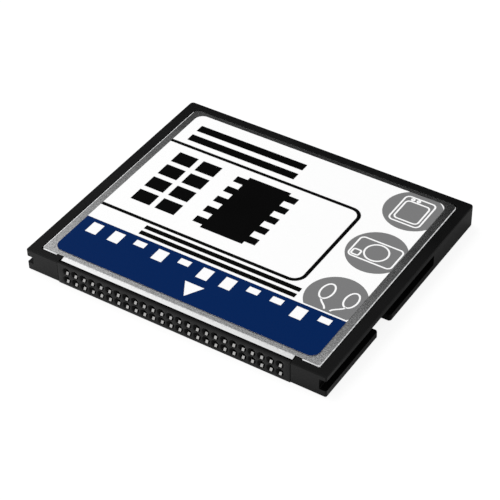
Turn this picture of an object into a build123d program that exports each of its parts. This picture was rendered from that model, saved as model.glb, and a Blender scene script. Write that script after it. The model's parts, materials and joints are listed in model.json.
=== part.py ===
from build123d import *
import os
from math import cos, radians, sin

# A flash memory card with 50 sockets in its front edge, in millimetres
# X runs across the card, Y from the sockets to the back, Z up from the flat underside

# Card outline
card_width = 42.8
card_length = 36.4
card_thickness = 3.3
rear_corner_radius = 0.5
front_corner_cut = 0.15
edge_bevel = 0.06

# Printed label on the top cover
film_thickness = 0.06
ink_thickness = 0.02
label_width = 37.4
label_length = 32.3
label_corner = 1.2

# Fields of colour on the label
band_length = 7.1
triangle_length = 2.4
triangle_width = 2.8
triangle_from_front = 0.9
bit_count = 11
bit_margin = 0.6
bit_width = 1.6
bit_high = 2.0
bit_low = 1.0
bit_from_edge = 0.6
outline_width = 0.5
outline_corner = 1.8
outline_to_disc = 1.03
outline_rear = 9.7
outline_front = -6.3
disc_radius = 3.9
disc_from_side = 3.12
disc_from_rear = 3.22
disc_pitch = 9.33
disc_band_overlap = 1.05
disc_line = 0.25

# Dark marks on the label
strip_to_disc = 0.4
strip_height = 0.7
strip_gap = 0.45
rear_strip_x = -8.8
rear_strip_width = 16.4
rear_strip_height = 1.3
rear_strip_gap = 0.9
chip_mark_x = -2.4
chip_mark_width = 6.2
mark_y = 2.2
mark_length = 11.6
pin_mark_count = 5
pin_mark_width = 1.2
pin_mark_reach = 1.5
cell_x = -12.9
cell_width = 2.9
cell_length = 2.2
cell_pitch_x = 3.7
cell_pitch_y = 3.0

# Sheet metal covers
sheet = 0.2
cover_proud = 0.06
cover_gap = 0.1
rim_bevel = 0.17
rim_depth = 0.67
top_cover_margin = 1.55
bottom_cover_margin = 1.85
cover_rear_margin = 1.25
cover_front_margin = 1.15
cover_rear_corner = 0.75
cover_front_corner = 0.35
slot_gap = 0.05

# Bevelled tongue of each cover, over the connector
relief_depth = 0.2
relief_width = 1.0
tongue_inset = 0.1
tongue_angle = 14
tongue_bend = 0.5
tongue_straight = 0.46

# Snap tabs that hold the covers in the frame
tab_width = 2.4
tab_depth = 0.6
tab_spacing = 9.5
tab_centre = 1.0

# Moulded frame
wall_to_opening = 2.5
rear_wall = 2.1
block_length = 3.6
front_setback = 0.04
shelf_reach = 1.1
shelf_width = 3.0
shelf_spacing = 10.0
shelf_centre = 2.5
shelf_clearance = 0.1

# Side guide grooves and the notches through the lower flanges
groove_depth = 0.95
groove_length = 25.78
right_groove_low = 0.99
right_groove_high = 2.54
left_groove_low = 1.15
left_groove_high = 2.16
notch_start = 12.0
notch_length = 3.0
notch_depth = 1.4
notch_flare = 0.25

# Connector housing
contact_count = 25
contact_pitch = 1.27
row_pitch = 1.27
housing_end = 1.36
housing_length = 4.5
housing_gap = 0.055
rim_length = 0.52
rim_proud = 0.01
body_inset = 0.36
socket_radius = 0.55
socket_depth = 0.5
cavity_width = 0.5
cavity_wall = 0.135
socket_sides = 12
key_width = 0.6
key_length = 1.2
key_start = 1.8
key_height = 1.5
key_gap = 0.05

# Stamped socket contacts
contact_width = 0.4
tip_inset = 0.04
crest_depth = 1.8
crest_opening = 0.34
throat_depth = 3.4
throat_opening = 0.4
root_depth = 4.3
tine_gap = 0.03
tail_thickness = 0.15
tail_reach = 2.0
tail_overlap = 1.3

# Circuit board
board_thickness = 0.45
board_side_gap = 0.25
board_rear_gap = 0.3
board_corner = 1.5

# Flash memory chips, which are thin packages with leads on two ends
flash_width = 12.0
flash_standoff = 0.05
flash_headroom = 0.085
lead_count = 24
lead_pitch = 0.5
lead_width = 0.22
lead_thickness = 0.13
lead_reach = 0.8
lead_foot = 0.5
upper_flash_from_side = 1.05
upper_flash_y = 2.6
lower_flash_from_side = 2.65
lower_flash_y = 1.4

# Controller chip, a moulded cap on a thin substrate
controller_size = 11.0
controller_from_side = 2.55
controller_gap = 2.7
controller_y = 3.4
substrate_thickness = 0.26
cap_margin = 0.4
cap_height = 0.6

# Crystal oscillator, voltage regulator and tantalum capacitor
crystal_length = 3.2
crystal_width = 2.5
crystal_height = 0.7
crystal_x = 12.8
crystal_y = -6.6
regulator_length = 2.9
regulator_width = 1.6
regulator_height = 0.85
regulator_standoff = 0.05
regulator_x = -8.2
regulator_y = -7.4
regulator_pitch = 0.95
regulator_lead_width = 0.4
regulator_lead_reach = 0.6
tantalum_length = 3.2
tantalum_width = 1.6
tantalum_height = 0.9
tantalum_x = -13.2
tantalum_y = -7.4

# Small two-ended parts in a row behind the connector
capacitor_length = 1.6
capacitor_width = 0.8
capacitor_height = 0.7
capacitor_count = 4
capacitor_x = 0.0
resistor_length = 1.0
resistor_width = 0.5
resistor_height = 0.35
resistor_count = 3
resistor_x = 7.6
small_part_y = -7.4
small_part_pitch = 1.6
terminal_length = 0.25

# Insulating films
insulator_thickness = 0.05
insulator_margin = 1.2

# Heights and places that follow from the sizes above
half_width = card_width / 2
half_length = card_length / 2
front = -half_length
metal_top = card_thickness - film_thickness - ink_thickness
middle = metal_top / 2
frame_low = cover_proud
frame_high = metal_top - cover_proud
seat_high = metal_top - sheet
seat_low = sheet
opening_half = half_width - wall_to_opening
opening_rear = half_length - rear_wall
block_rear = front + block_length
cover_rear = half_length - cover_rear_margin
cover_front = front + cover_front_margin
relief_edge = cover_front + relief_depth
top_cover_width = card_width - 2 * top_cover_margin
bottom_cover_width = card_width - 2 * bottom_cover_margin
housing_half = (contact_count - 1) * contact_pitch / 2 + housing_end
tongue_half = housing_half - tongue_inset
relief_half = tongue_half + relief_width
gap_half = housing_half + housing_gap
housing_rear = front + housing_length
body_low = body_inset
body_high = metal_top - body_low
board_low = middle - board_thickness / 2
board_high = middle + board_thickness / 2
board_half = opening_half - board_side_gap
board_rear = opening_rear - board_rear_gap
board_front = front + root_depth + tail_reach - tail_overlap
top_insulator_low = seat_high - insulator_thickness
film_high = metal_top + film_thickness
band_front = -label_length / 2
band_rear = band_front + band_length
bit_pitch = (label_width - 2 * bit_margin) / bit_count
disc_x = label_width / 2 - disc_from_side
outline_right = disc_x - disc_radius - outline_to_disc
strip_half = disc_x - disc_radius - strip_to_disc
disc_y = label_length / 2 - disc_from_rear - disc_pitch
front_disc_y = band_rear + disc_radius - disc_band_overlap
controller_x = board_half - controller_from_side - controller_size / 2
upper_flash_left = upper_flash_from_side - board_half
upper_flash_right = controller_x - controller_size / 2 - controller_gap
upper_flash_x = (upper_flash_left + upper_flash_right) / 2
lead_span = upper_flash_right - upper_flash_left
flash_length = lead_span - 2 * lead_reach
lower_flash_x = board_half - lower_flash_from_side - lead_span / 2


def block(x, y, z):
    """A box from its low and high places along each axis."""
    size = (x[1] - x[0], y[1] - y[0], z[1] - z[0])
    centre = (sum(x) / 2, sum(y) / 2, sum(z) / 2)
    return Pos(*centre) * Box(*size)


def turned_over(shape):
    """The same shape on the card's other face."""
    return mirror(shape, about=Plane.XY.offset(middle))


def both_sides(shape):
    """The shape and its mirror image across the card."""
    return shape + mirror(shape, about=Plane.YZ)


def section(points, x, width):
    """A flat outline in Y and Z, given a width across the card around x."""
    outline = make_face(Polyline(*points, close=True))
    return Pos(x, 0, 0) * extrude(Plane.YZ * outline, amount=width / 2, both=True)


# Covers


def cover_outline(width, grown):
    """The plan of a cover, grown by a clearance, as a flat face."""
    low = cover_front - grown
    high = cover_rear + grown
    plan = Pos(0, (low + high) / 2) * Rectangle(width + 2 * grown, high - low)
    corners = plan.vertices().sort_by(Axis.Y)
    plan = fillet(corners[2:], cover_rear_corner + grown)
    corners = plan.vertices().sort_by(Axis.Y)
    return fillet(corners[:2], cover_front_corner + grown)


def inner_outline(width, grown):
    """The plan of what lies inside a cover's flange, with its corners cut off."""
    low = cover_front - grown
    high = cover_rear + grown
    plan = Pos(0, (low + high) / 2) * Rectangle(width + 2 * grown, high - low)
    corners = plan.vertices().sort_by(Axis.Y)
    plan = chamfer(corners[2:], cover_rear_corner + grown)
    corners = plan.vertices().sort_by(Axis.Y)
    return chamfer(corners[:2], cover_front_corner + grown)


def raised(plan, low, high):
    """A flat plan turned into a solid between two heights."""
    return Pos(0, 0, low) * extrude(plan, amount=high - low)


def tab_places():
    """Where the snap tabs lie along each side."""
    return [tab_centre + step * tab_spacing for step in (-1, 0, 1)]


def cover_tongue():
    """The sloping front strip of the upper cover."""
    inner_bend = tongue_bend - sheet
    centre_z = metal_top - tongue_bend
    turn = radians(tongue_angle)
    outer_end = (relief_edge - tongue_bend * sin(turn), centre_z + tongue_bend * cos(turn))
    inner_end = (relief_edge - inner_bend * sin(turn), centre_z + inner_bend * cos(turn))
    run = (tongue_straight * cos(turn), tongue_straight * sin(turn))
    outer_tip = (outer_end[0] - run[0], outer_end[1] - run[1])
    inner_tip = (inner_end[0] - run[0], inner_end[1] - run[1])
    outer_mid = (
        relief_edge - tongue_bend * sin(turn / 2),
        centre_z + tongue_bend * cos(turn / 2),
    )
    inner_mid = (
        relief_edge - inner_bend * sin(turn / 2),
        centre_z + inner_bend * cos(turn / 2),
    )
    edges = [
        ThreePointArc((relief_edge, metal_top), outer_mid, outer_end),
        Line(outer_end, outer_tip),
        Line(outer_tip, inner_tip),
        Line(inner_tip, inner_end),
        ThreePointArc(inner_end, inner_mid, (relief_edge, seat_high)),
        Line((relief_edge, seat_high), (relief_edge, metal_top)),
    ]
    outline = make_face(edges)
    return extrude(Plane.YZ * outline, amount=tongue_half, both=True)


def cover(width):
    """A pan of sheet metal with a rounded rim, snap tabs and a sloping tongue."""
    half = width / 2
    low = metal_top - rim_depth
    outer = raised(cover_outline(width, 0), low, metal_top)
    outer = chamfer(outer.faces().sort_by(Axis.Z)[-1].edges(), rim_bevel)
    inner = raised(inner_outline(width, -sheet), low, seat_high)
    relief = block((-relief_half, relief_half), (front, relief_edge), (low, metal_top))
    pan = outer - inner - relief
    for y in tab_places():
        span = (y - tab_width / 2, y + tab_width / 2)
        pan += both_sides(block((half - sheet, half), span, (low - tab_depth, low)))
    return pan + cover_tongue()


# Frame


def cover_seat(width):
    """What the upper cover needs cut out of the frame."""
    half = width / 2
    recess = raised(cover_outline(width, cover_gap), seat_high, metal_top)
    slot_low = metal_top - rim_depth - slot_gap
    slot = raised(cover_outline(width, cover_gap), slot_low, seat_high)
    slot -= raised(inner_outline(width, -sheet - slot_gap), slot_low, seat_high)
    pockets = []
    for y in tab_places():
        span = (y - tab_width / 2 - slot_gap, y + tab_width / 2 + slot_gap)
        depth = (slot_low - tab_depth, slot_low)
        pockets.append(both_sides(block((half - sheet - slot_gap, half + cover_gap), span, depth)))
    tab_half = relief_half - slot_gap
    keep = block((-tab_half, tab_half), (front, relief_edge - slot_gap), (slot_low, metal_top))
    cut = (recess + slot) - keep
    for pocket in pockets:
        cut += pocket
    return cut


def guide_groove(low, high):
    """The groove in the right side that a reader's rail slides in."""
    x = (half_width - groove_depth, half_width)
    return block(x, (front, front + groove_length), (low, high))


def flange_notch(high):
    """The notch through the right lower flange, flared at its mouth."""
    inner = half_width - notch_depth
    throat = half_width - notch_flare
    start = front + notch_start
    end = start + notch_length
    front_side = [(inner, start), (throat, start), (half_width, start - notch_flare)]
    rear_side = [(half_width, end + notch_flare), (throat, end), (inner, end)]
    plan = make_face(Polyline(*front_side, *rear_side, close=True))
    return Pos(0, 0, frame_low) * extrude(plan, amount=high - frame_low)


def key_slot():
    """The pocket in the right corner block that takes the housing's key."""
    x = (housing_half, gap_half + key_width)
    y = (front + key_start - key_gap, front + key_start + key_length + key_gap)
    return block(x, y, (middle - key_height / 2, frame_high))


def board_shelves():
    """Shelves inside the rim that carry the circuit board."""
    z = (seat_low + shelf_clearance, board_low)
    shelves = []
    for step in (-1, 0, 1):
        y = shelf_centre + step * shelf_spacing
        span = (y - shelf_width / 2, y + shelf_width / 2)
        shelf = block((opening_half - shelf_reach, opening_half), span, z)
        shelves.append(both_sides(shelf))
        x = (step * shelf_spacing - shelf_width / 2, step * shelf_spacing + shelf_width / 2)
        shelves.append(block(x, (opening_rear - shelf_reach, opening_rear), z))
    return shelves


def frame():
    """The moulded rim around the card."""
    y = (front + front_setback, half_length)
    body = block((-half_width, half_width), y, (frame_low, frame_high))
    corners = body.edges().filter_by(Axis.Z).sort_by(Axis.Y)
    body = fillet(corners[2:], rear_corner_radius)
    corners = body.edges().filter_by(Axis.Z).sort_by(Axis.Y)
    body = chamfer(corners[:2], front_corner_cut)
    rims = body.faces().sort_by(Axis.Z)
    body = chamfer(rims[0].edges() + rims[-1].edges(), edge_bevel)
    full = (frame_low, frame_high)
    body -= block((-opening_half, opening_half), (block_rear, opening_rear), full)
    body -= block((-gap_half, gap_half), (front, block_rear), full)
    body -= cover_seat(top_cover_width)
    body -= turned_over(cover_seat(bottom_cover_width))
    body -= both_sides(key_slot())
    body -= guide_groove(right_groove_low, right_groove_high)
    body -= flange_notch(right_groove_low)
    body -= mirror(guide_groove(left_groove_low, left_groove_high), about=Plane.YZ)
    body -= mirror(flange_notch(left_groove_low), about=Plane.YZ)
    for shelf in board_shelves():
        body += shelf
    return body


# Connector


def contact_columns():
    """The place of each column of sockets across the card."""
    first = -(contact_count - 1) / 2
    return [(first + column) * contact_pitch for column in range(contact_count)]


def row_heights():
    """The heights of the upper and the lower row of sockets."""
    return (middle + row_pitch / 2, middle - row_pitch / 2)


def cavity_height():
    """The clear height of one contact's cavity."""
    return body_high - body_low - row_pitch - 2 * cavity_wall


def socket(column, row, x, z):
    """The wide front part of a socket, truly round at the two corners that locate the pins."""
    corner = (column, row) in ((0, 0), (contact_count - 1, 1))
    round_plan = Circle(socket_radius)
    flat_plan = RegularPolygon(socket_radius, socket_sides, major_radius=False)
    plan = round_plan if corner else flat_plan
    mouth = Plane((x, front, z), x_dir=(1, 0, 0), z_dir=(0, 1, 0))
    return extrude(mouth * plan, amount=socket_depth)


def connector_housing():
    """The moulded block with two rows of sockets."""
    across = (-housing_half, housing_half)
    rim_end = front + rim_length
    rim = block(across, (front, rim_end), (rim_proud, metal_top - rim_proud))
    body = block(across, (rim_end, housing_rear), (body_low, body_high))
    x = (housing_half, housing_half + key_width)
    y = (front + key_start, front + key_start + key_length)
    key = block(x, y, (middle - key_height / 2, middle + key_height / 2))
    housing = rim + body + both_sides(key)
    cavity_low = front + socket_depth
    sockets = []
    for row, z in enumerate(row_heights()):
        span = (z - cavity_height() / 2, z + cavity_height() / 2)
        for column, x in enumerate(contact_columns()):
            wide = (x - cavity_width / 2, x + cavity_width / 2)
            sockets.append(socket(column, row, x, z))
            sockets.append(block(wide, (cavity_low, housing_rear), span))
    return housing - sockets


def contact(x, z):
    """One forked contact: two tines, a root in its cavity, and a tail on the board."""
    root = cavity_height() / 2
    tip = root - tine_gap
    tail = board_high - z
    upper = [
        (front + tip_inset, z + tip),
        (front + crest_depth, z + crest_opening / 2),
        (front + throat_depth, z + throat_opening / 2),
    ]
    lower = [(y, 2 * z - height) for y, height in reversed(upper)]
    end = front + root_depth
    rear = [
        (end, z + tail),
        (end + tail_reach, z + tail),
        (end + tail_reach, z + tail + tail_thickness),
        (end, z + tail + tail_thickness),
        (end, z + root),
    ]
    return section(upper + lower + rear, x, contact_width)


def upper_contacts():
    """The row of contacts whose tails lie on the board's top."""
    height = row_heights()[0]
    return [contact(x, height) for x in contact_columns()]


def lower_contacts():
    """The row of contacts whose tails lie under the board."""
    return [turned_over(piece) for piece in upper_contacts()]


# Circuit board and what is soldered to it


def circuit_board():
    """The board, with its rear corners cut back."""
    board = block((-board_half, board_half), (board_front, board_rear), (board_low, board_high))
    rear_edges = board.edges().filter_by(Axis.Z).sort_by(Axis.Y)[2:]
    return chamfer(rear_edges, board_corner)


def flash_top():
    """The height of the upper flash chip's top face."""
    return top_insulator_low - flash_headroom


def flash_chip(x, y):
    """The moulded body of a flash chip on the board's top."""
    span_x = (x - flash_length / 2, x + flash_length / 2)
    span_y = (y - flash_width / 2, y + flash_width / 2)
    return block(span_x, span_y, (board_high + flash_standoff, flash_top()))


def flash_leads(x, y):
    """The two combs of leads of a flash chip on the board's top."""
    side = flash_length / 2
    end = lead_span / 2
    high = (board_high + flash_standoff + flash_top()) / 2
    foot = end - lead_foot
    points = [
        (side, high),
        (side, high - lead_thickness),
        (foot, board_high),
        (end, board_high),
        (foot + lead_thickness / 2, board_high + lead_thickness),
    ]
    outline = Plane.XZ * make_face(Polyline(*points, close=True))
    lead = extrude(outline, amount=lead_width / 2, both=True)
    first = -(lead_count - 1) / 2
    places = [y + (first + step) * lead_pitch for step in range(lead_count)]
    right = [Pos(x, place, 0) * lead for place in places]
    left = [Pos(x, place, 0) * mirror(lead, about=Plane.YZ) for place in places]
    return right + left


def controller_chip():
    """A square package: a moulded cap on a substrate that lies on the board."""
    x = (controller_x - controller_size / 2, controller_x + controller_size / 2)
    y = (controller_y - controller_size / 2, controller_y + controller_size / 2)
    cap_low = board_high + substrate_thickness
    substrate = block(x, y, (board_high, cap_low))
    cap_x = (x[0] + cap_margin, x[1] - cap_margin)
    cap_y = (y[0] + cap_margin, y[1] - cap_margin)
    return substrate + block(cap_x, cap_y, (cap_low, cap_low + cap_height))


def on_board(x, y, length, width, height, standoff=0.0):
    """A box on the board's top, a length across the card by a width."""
    span_x = (x - length / 2, x + length / 2)
    span_y = (y - width / 2, y + width / 2)
    low = board_high + standoff
    return block(span_x, span_y, (low, low + height))


def crystal_oscillator():
    """The metal-lidded crystal."""
    return on_board(crystal_x, crystal_y, crystal_length, crystal_width, crystal_height)


def voltage_regulator():
    """The moulded body of the regulator."""
    length = regulator_length
    width = regulator_width
    return on_board(regulator_x, regulator_y, length, width, regulator_height, regulator_standoff)


def regulator_leads():
    """Three leads at the regulator's front and two at its rear."""
    side = regulator_width / 2
    high = board_high + regulator_standoff + regulator_height / 2
    foot = side + regulator_lead_reach / 2
    end = side + regulator_lead_reach
    points = [
        (side, high),
        (side, high - lead_thickness),
        (foot, board_high),
        (end, board_high),
        (foot + lead_thickness / 2, board_high + lead_thickness),
    ]
    rear = section(points, 0, regulator_lead_width)
    front_lead = mirror(rear, about=Plane.XZ)
    leads = []
    for step in (-1, 0, 1):
        x = regulator_x + step * regulator_pitch
        leads.append(Pos(x, regulator_y, 0) * front_lead)
        if step != 0:
            leads.append(Pos(x, regulator_y, 0) * rear)
    return leads


def tantalum_capacitor():
    """The moulded bulk capacitor."""
    length = tantalum_length - 2 * terminal_length
    return on_board(tantalum_x, tantalum_y, length, tantalum_width, tantalum_height)


def row_places(x, count):
    """The places of a row of small parts that is centred at x."""
    first = -(count - 1) / 2
    return [x + (first + step) * small_part_pitch for step in range(count)]


def capacitors():
    """The bodies of the ceramic capacitors."""
    width = capacitor_length - 2 * terminal_length
    places = row_places(capacitor_x, capacitor_count)
    return [on_board(x, small_part_y, capacitor_width, width, capacitor_height) for x in places]


def resistors():
    """The bodies of the chip resistors."""
    width = resistor_length - 2 * terminal_length
    places = row_places(resistor_x, resistor_count)
    return [on_board(x, small_part_y, resistor_width, width, resistor_height) for x in places]


def chip_terminals():
    """The solderable ends of the two-ended parts."""
    ends = []
    for side in (-1, 1):
        reach = side * (tantalum_length - terminal_length) / 2
        x = tantalum_x + reach
        ends.append(on_board(x, tantalum_y, terminal_length, tantalum_width, tantalum_height))
        y = small_part_y + side * (capacitor_length - terminal_length) / 2
        for x in row_places(capacitor_x, capacitor_count):
            ends.append(on_board(x, y, capacitor_width, terminal_length, capacitor_height))
        y = small_part_y + side * (resistor_length - terminal_length) / 2
        for x in row_places(resistor_x, resistor_count):
            ends.append(on_board(x, y, resistor_width, terminal_length, resistor_height))
    return ends


def insulator(low):
    """A film stuck inside a cover."""
    half = opening_half - insulator_margin
    span = (housing_rear + insulator_margin, opening_rear - insulator_margin)
    return block((-half, half), span, (low, low + insulator_thickness))


# Label


def label_outline():
    """The label's plan, a rectangle with rounded corners."""
    return RectangleRounded(label_width, label_length, label_corner)


def label_film():
    """The white film on the top cover."""
    return raised(label_outline(), metal_top, film_high)


def field(x, y, width, length):
    """A flat rectangle around a place on the label."""
    return Pos(x, y) * Rectangle(width, length)


def printed(plan):
    """A layer of ink over the film, one solid for each separate field."""
    return [raised(face, film_high, card_thickness) for face in plan.faces()]


def band_print():
    """The dark blue band at the front, with a triangle and a row of data bits left white."""
    plan = label_outline() & field(0, band_front + band_length / 2, label_width, band_length)
    base = band_front + triangle_from_front + triangle_length
    point = band_front + triangle_from_front
    half = triangle_width / 2
    corners = [(-half, base), (half, base), (0, point)]
    plan -= make_face(Polyline(*corners, close=True))
    rear = band_rear - bit_from_edge
    for step in range(bit_count):
        x = (step - (bit_count - 1) / 2) * bit_pitch
        tall = bit_high if step % 3 == 0 or step % 4 == 1 else bit_low
        plan -= field(x, rear - tall / 2, bit_width, tall)
    return printed(plan)


def outline_frame():
    """The black line around the capacity field, open at the label's left edge."""
    left = -label_width / 2
    width = 2 * (outline_right - left)
    middle_y = (outline_rear + outline_front) / 2
    length = outline_rear - outline_front
    outer = Pos(left, middle_y) * RectangleRounded(width, length, outline_corner)
    inner = Pos(left, middle_y) * RectangleRounded(
        width - 2 * outline_width, length - 2 * outline_width, outline_corner - outline_width
    )
    return (outer - inner) & label_outline()


def chip_mark():
    """A plain sign of a memory chip, with pins on two sides."""
    plan = field(chip_mark_x, mark_y, chip_mark_width, mark_length)
    pitch = mark_length / pin_mark_count
    for step in range(pin_mark_count):
        y = mark_y + (step - (pin_mark_count - 1) / 2) * pitch
        width = chip_mark_width + 2 * pin_mark_reach
        plan += field(chip_mark_x, y, width, pin_mark_width)
    return plan


def outline_print():
    """The black outline and the plain dark marks that stand for data."""
    plan = outline_frame() + chip_mark()
    for row in range(4):
        y = mark_y + (row - 1.5) * cell_pitch_y
        for side in (-0.5, 0.5):
            plan += field(cell_x + side * cell_pitch_x, y, cell_width, cell_length)
    low = band_rear + strip_gap
    for row in range(2):
        y = low + strip_height / 2 + row * (strip_height + strip_gap)
        plan += field(0, y, 2 * strip_half, strip_height)
    low = outline_rear + rear_strip_gap
    for row in range(2):
        y = low + rear_strip_height / 2 + row * (rear_strip_height + rear_strip_gap)
        plan += field(rear_strip_x, y, rear_strip_width, rear_strip_height)
    return printed(plan)


def disc_print():
    """Three grey discs down the right side, cut off by the label's edge and the band."""
    plan = Pos(disc_x, disc_y) * Circle(disc_radius)
    plan += Pos(disc_x, disc_y + disc_pitch) * Circle(disc_radius)
    plan += Pos(disc_x, front_disc_y) * Circle(disc_radius)
    low = band_rear + disc_line
    high = label_length / 2
    return printed(plan & label_outline() & field(0, (low + high) / 2, label_width, high - low))


PARTS = {
    "frame": frame,
    "top_cover": lambda: cover(top_cover_width),
    "bottom_cover": lambda: turned_over(cover(bottom_cover_width)),
    "connector_housing": connector_housing,
    "upper_contacts": upper_contacts,
    "lower_contacts": lower_contacts,
    "circuit_board": circuit_board,
    "upper_flash_chip": lambda: flash_chip(upper_flash_x, upper_flash_y),
    "upper_flash_leads": lambda: flash_leads(upper_flash_x, upper_flash_y),
    "lower_flash_chip": lambda: turned_over(flash_chip(lower_flash_x, lower_flash_y)),
    "lower_flash_leads": lambda: [
        turned_over(lead) for lead in flash_leads(lower_flash_x, lower_flash_y)
    ],
    "controller_chip": controller_chip,
    "crystal_oscillator": crystal_oscillator,
    "voltage_regulator": voltage_regulator,
    "regulator_leads": regulator_leads,
    "tantalum_capacitor": tantalum_capacitor,
    "capacitors": capacitors,
    "resistors": resistors,
    "chip_terminals": chip_terminals,
    "upper_insulator": lambda: insulator(top_insulator_low),
    "lower_insulator": lambda: insulator(seat_low),
    "label_film": label_film,
    "band_print": band_print,
    "outline_print": outline_print,
    "disc_print": disc_print,
}

os.makedirs("parts", exist_ok=True)
for name, make in PARTS.items():
    made = make()
    solid = Compound(children=made) if isinstance(made, list) else made
    export_step(solid, f"parts/{name}.step")
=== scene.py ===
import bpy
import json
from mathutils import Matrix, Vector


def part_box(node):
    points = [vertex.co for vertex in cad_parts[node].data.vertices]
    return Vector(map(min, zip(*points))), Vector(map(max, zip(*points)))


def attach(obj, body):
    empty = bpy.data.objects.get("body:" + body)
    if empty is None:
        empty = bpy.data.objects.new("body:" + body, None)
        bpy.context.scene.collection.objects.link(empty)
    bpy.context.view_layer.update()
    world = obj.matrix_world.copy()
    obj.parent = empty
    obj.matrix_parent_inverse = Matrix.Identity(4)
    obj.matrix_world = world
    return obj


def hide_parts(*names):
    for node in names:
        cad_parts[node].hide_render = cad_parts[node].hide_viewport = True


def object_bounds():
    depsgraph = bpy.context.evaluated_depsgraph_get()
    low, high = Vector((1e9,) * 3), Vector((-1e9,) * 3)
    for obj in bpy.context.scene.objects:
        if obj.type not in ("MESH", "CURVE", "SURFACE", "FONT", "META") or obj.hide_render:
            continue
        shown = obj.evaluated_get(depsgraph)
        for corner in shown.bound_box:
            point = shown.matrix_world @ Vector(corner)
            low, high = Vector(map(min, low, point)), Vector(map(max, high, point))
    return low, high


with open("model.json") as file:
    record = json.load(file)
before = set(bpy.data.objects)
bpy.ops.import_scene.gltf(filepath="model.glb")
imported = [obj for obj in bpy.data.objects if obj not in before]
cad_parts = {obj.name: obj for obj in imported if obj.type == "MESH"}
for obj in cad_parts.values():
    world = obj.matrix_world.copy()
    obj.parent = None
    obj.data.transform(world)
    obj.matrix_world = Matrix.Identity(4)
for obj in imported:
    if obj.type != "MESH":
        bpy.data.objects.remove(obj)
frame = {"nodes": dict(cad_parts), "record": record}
CAD_BOX = [list(corner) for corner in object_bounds()]

import json
import logging
import math
from dataclasses import dataclass
from enum import Enum
from functools import cache
from typing import Optional, Sequence

import bmesh
import bpy
from mathutils import Matrix, Vector

MM = 0.001
BODY = "root"
LOG = logging.getLogger("memory_card")

# The card's middle height, the slope of the covers' tongues, the film's top, and where the tongues bend.
MIDDLE = (CAD_BOX[0][2] + CAD_BOX[1][2]) / 2
SLOPE = math.radians(14.0)
FILM_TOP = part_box("label_film")[1].z
BEND = -16.85 * MM

Point = tuple[float, float]
Color = tuple[float, float, float]
Socket = bpy.types.NodeSocket
Ring = list[bmesh.types.BMVert]
Mesh = bmesh.types.BMesh
Material = bpy.types.Material
Piece = bpy.types.Object


class Grain(Enum):
    """How coarse the skin of a surface is, as the size of one bump in millimetres."""

    POLISHED = 0.6
    FINE = 0.05
    BLASTED = 0.13
    MOULDED = 0.16


# Node building


class NodeBench:
    """Adds and links the nodes of one tree."""

    def __init__(self, tree: bpy.types.NodeTree) -> None:
        """Takes the tree and empties it."""
        self.tree = tree
        tree.nodes.clear()

    def add(self, kind: str, **settings: object) -> bpy.types.Node:
        """Adds a node.

        Args:
            kind: The node's kind.
            settings: Its own settings, in lower case, and a socket or a constant for its inputs, which
                start with a capital and have underscores for spaces.

        Returns:
            The node.
        """
        node = self.tree.nodes.new(kind)
        for name, value in settings.items():
            if name.islower():
                setattr(node, name, value)
            else:
                self.feed(node.inputs[name.replace("_", " ")], value)
        return node

    def feed(self, socket: Socket, value: object) -> None:
        """Links a socket to an input, or sets a constant on it.

        Args:
            socket: The input.
            value: The socket or the constant.
        """
        if isinstance(value, bpy.types.NodeSocket):
            self.tree.links.new(value, socket)
        else:
            socket.default_value = value

    def math(self, operation: str, *values: object) -> Socket:
        """Adds a Math node.

        Args:
            operation: The operation's name.
            values: A socket or a number for each input.

        Returns:
            The result's socket.
        """
        node = self.add("ShaderNodeMath", operation=operation)
        for socket, value in zip(node.inputs, values):
            self.feed(socket, value)
        return node.outputs[0]

    def part(self, vector: Socket, axis: str) -> Socket:
        """Gives the X, Y or Z of a vector."""
        return self.add("ShaderNodeSeparateXYZ", Vector=vector).outputs[axis]

    def spread(
        self, value: Socket, low: float, high: float, start: float = 0.3, end: float = 0.7, ease: bool = False
    ) -> Socket:
        """Maps a value, such as a noise, to a range and holds it there.

        Args:
            value: The value.
            low: The result at the start.
            high: The result at the end.
            start: The value that gives low.
            end: The value that gives high.
            ease: Whether the result eases in and out.

        Returns:
            The mapped value's socket.
        """
        node = self.add("ShaderNodeMapRange", interpolation_type="SMOOTHSTEP" if ease else "LINEAR")
        for socket, given in zip(node.inputs, (value, start, end, low, high)):
            self.feed(socket, given)
        return node.outputs["Result"]

    def rays(self) -> tuple[Socket, Socket]:
        """Gives a socket that is 1 on the camera's own rays, and one for rays by way of metal or glass."""
        path = self.add("ShaderNodeLightPath").outputs
        return path["Is Camera Ray"], self.math("MAXIMUM", path["Is Glossy Ray"], path["Is Transmission Ray"])


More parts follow.
